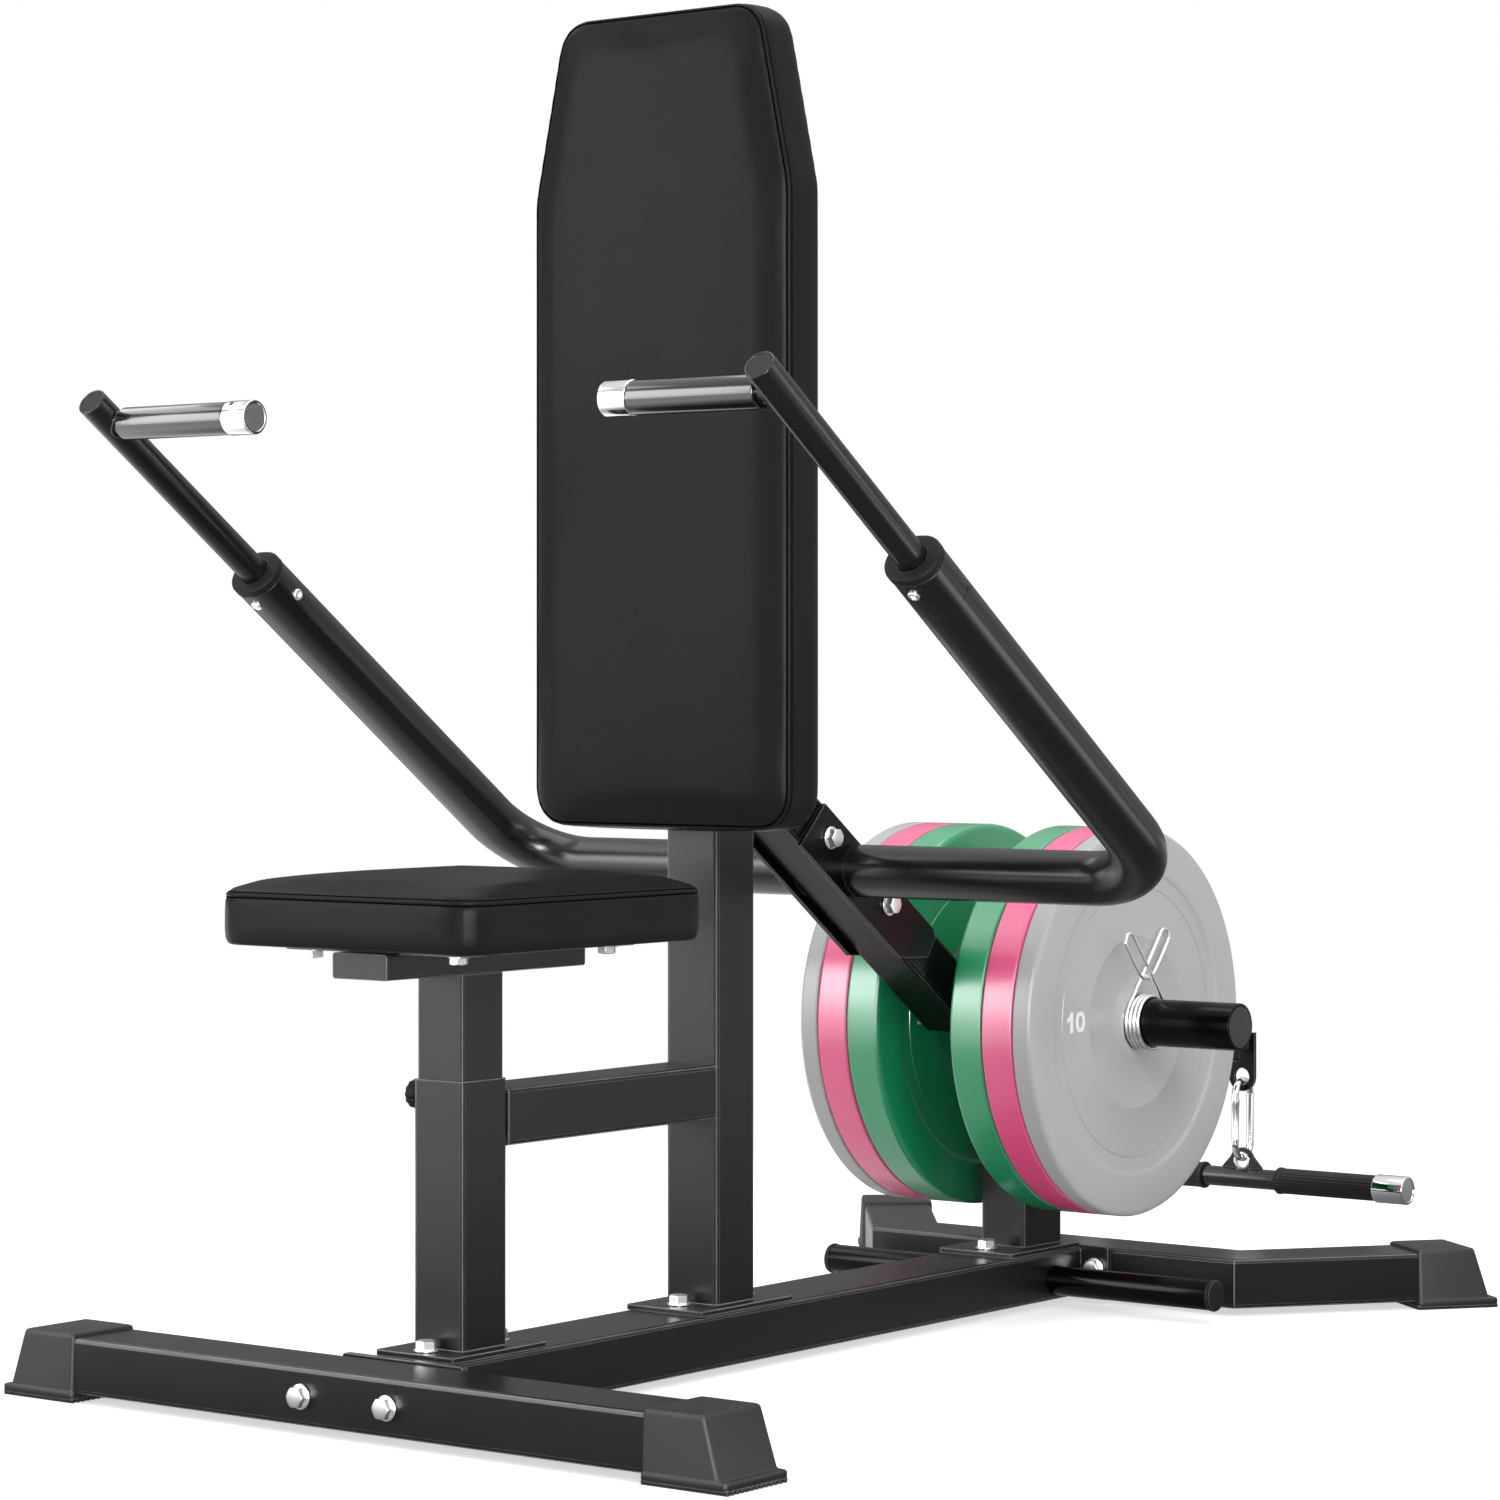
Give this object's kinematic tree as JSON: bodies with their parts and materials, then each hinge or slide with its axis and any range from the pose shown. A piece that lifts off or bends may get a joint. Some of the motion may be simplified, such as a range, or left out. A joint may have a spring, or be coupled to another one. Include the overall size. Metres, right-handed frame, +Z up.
{
  "type": "seated dip machine",
  "caption": "Seated dip machine: a plate-loaded press lever with sliding handles on a back post, a height-adjustable padded seat, a back rest, and a pull bar hung from the lever's tail.",
  "frame": {"origin": "bottom centre of the bounding box, on the floor", "axes": "+X to the user's left hand side as seen from the front, which is the image's right; -Y is the machine's front, +Z up"},
  "size_m": [0.824, 1.5037, 1.262],
  "materials": {
    "frame_paint": "satin black powder coat",
    "leather": "matte dark gray faux leather",
    "rubber": "matte black",
    "board": "stained dark",
    "gloss_plastic": "glossy black",
    "chrome": "polished",
    "plate_green": "matte green",
    "plate_pink": "matte pink",
    "plate_gray": "matte gray"
  },
  "bodies": {
    "frame": {"front_crossbar": "frame_paint", "front_foot_left": "rubber", "front_foot_right": "rubber", "rear_foot_left": "rubber", "rear_foot_right": "rubber", "main_rail": "frame_paint", "rear_stabiliser": "frame_paint", "crossbar_bolt_left": "chrome", "crossbar_bolt_right": "chrome", "rear_bolt_left": "chrome", "rear_bolt_right": "chrome", "seat_sleeve": "frame_paint", "seat_base_bolt": "chrome", "brace": "frame_paint", "back_post": "frame_paint", "back_base_bolt": "chrome", "rest_post": "frame_paint", "rest_base_bolt": "chrome", "rest_bumper": "rubber", "storage_peg_left": "frame_paint", "storage_peg_right": "frame_paint", "pivot_bracket": "frame_paint", "pivot_bolt": "chrome", "back_board": "board", "back_pad": "leather"},
    "seat": {"seat_inner_post": "frame_paint", "seat_bracket": "frame_paint", "seat_board": "board", "seat_pad": "leather"},
    "knob": {"pull_knob": "gloss_plastic"},
    "lever": {"lever_tube": "frame_paint", "saddle_plate_left": "frame_paint", "saddle_plate_right": "frame_paint", "saddle_bolt_front": "chrome", "saddle_bolt_rear": "chrome", "arm_tube": "frame_paint", "arm_cap_left": "gloss_plastic", "arm_cap_right": "gloss_plastic", "horn_left": "frame_paint", "horn_right": "frame_paint"},
    "handle_left": {"handle_rod_left": "frame_paint", "grip_left": "gloss_plastic", "grip_collar_left": "chrome"},
    "handle_right": {"handle_rod_right": "frame_paint", "grip_right": "gloss_plastic", "grip_collar_right": "chrome"},
    "green_plate_left": {"green_plate_left": "plate_green"},
    "green_plate_right": {"green_plate_right": "plate_green"},
    "pink_plate_left": {"pink_plate_left": "plate_pink"},
    "pink_plate_right": {"pink_plate_right": "plate_pink"},
    "gray_plate_left": {"gray_plate_left": "plate_gray"},
    "gray_plate_right": {"gray_plate_right": "plate_gray"},
    "collar_left": {"spring_collar_left": "chrome"},
    "collar_right": {"spring_collar_right": "chrome"},
    "carabiner": {"carabiner": "chrome"},
    "bar": {"attachment_bar": "frame_paint", "bar_grip_left": "rubber", "bar_grip_right": "rubber", "bar_end_left": "chrome", "bar_end_right": "chrome"}
  },
  "joints": [
    {"name": "seat_slide", "type": "slide", "parent": "frame", "child": "seat", "axis": [0, 0, 1], "range_m": [-0.075, 0.1]},
    {"name": "knob_pull", "type": "slide", "parent": "frame", "child": "knob", "axis": [-1, 0, 0], "range_m": [0, 0.012], "stiffness_N_per_m": 800, "springref_m": -0.002},
    {"name": "lever_pivot", "type": "hinge", "parent": "frame", "child": "lever", "pos_m": [0, -0.16215, 0.543], "axis": [1, 0, 0], "range_deg": [0, 32]},
    {"name": "handle_left_slide", "type": "slide", "parent": "lever", "child": "handle_left", "axis": [0, -0.8171, 0.5764], "range_m": [-0.1, 0.06]},
    {"name": "handle_right_slide", "type": "slide", "parent": "lever", "child": "handle_right", "axis": [0, -0.8171, 0.5764], "range_m": [-0.1, 0.06]},
    {"name": "green_plate_left_slide", "type": "slide", "parent": "lever", "child": "green_plate_left", "axis": [-1, 0, 0], "range_m": [0, 0.23]},
    {"name": "pink_plate_left_slide", "type": "slide", "parent": "green_plate_left", "child": "pink_plate_left", "axis": [-1, 0, 0], "range_m": [0, 0.19]},
    {"name": "gray_plate_left_slide", "type": "slide", "parent": "pink_plate_left", "child": "gray_plate_left", "axis": [-1, 0, 0], "range_m": [0, 0.15]},
    {"name": "collar_left_slide", "type": "slide", "parent": "gray_plate_left", "child": "collar_left", "axis": [-1, 0, 0], "range_m": [0, 0.13]},
    {"name": "green_plate_right_slide", "type": "slide", "parent": "lever", "child": "green_plate_right", "axis": [1, 0, 0], "range_m": [0, 0.23]},
    {"name": "pink_plate_right_slide", "type": "slide", "parent": "green_plate_right", "child": "pink_plate_right", "axis": [1, 0, 0], "range_m": [0, 0.19]},
    {"name": "gray_plate_right_slide", "type": "slide", "parent": "pink_plate_right", "child": "gray_plate_right", "axis": [1, 0, 0], "range_m": [0, 0.15]},
    {"name": "collar_right_slide", "type": "slide", "parent": "gray_plate_right", "child": "collar_right", "axis": [1, 0, 0], "range_m": [0, 0.13]},
    {"name": "carabiner_swing", "type": "hinge", "parent": "lever", "child": "carabiner", "pos_m": [0, 0.73185, 0.1981], "axis": [0, 1, 0], "range_deg": [-20, 20]},
    {"name": "bar_swing", "type": "hinge", "parent": "carabiner", "child": "bar", "pos_m": [0, 0.73185, 0.1121], "axis": [0, -1, 0], "range_deg": [-20, 20]}
  ]
}
